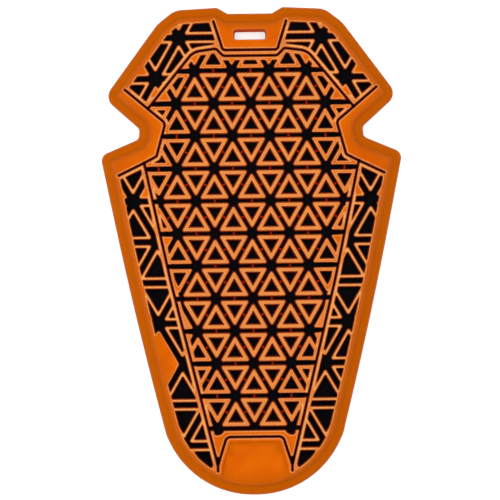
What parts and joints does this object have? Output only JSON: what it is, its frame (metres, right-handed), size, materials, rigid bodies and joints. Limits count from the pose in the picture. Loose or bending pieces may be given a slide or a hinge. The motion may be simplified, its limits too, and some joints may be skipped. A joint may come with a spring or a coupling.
{
  "type": "knee protector insert",
  "caption": "Shallow curved knee protector insert of orange foam, an open lattice of triangular rings on a black sheet, with a hanging slot in its tab and a notch in each side.",
  "frame": {"origin": "centre of the bounding box in plan, on the plane that the rim stands on", "axes": "+X to the right, +Y along the insert towards the tab with the slot, +Z out of the front, with the hollow side down"},
  "size_m": [0.169, 0.2749, 0.0266],
  "materials": {
    "orange_foam": "matt moulded skin",
    "black_sheet": "matt"
  },
  "bodies": {
    "root": {"rim_frame": "orange_foam", "centre_panel": "orange_foam", "backing_sheet": "black_sheet"}
  },
  "joints": []
}
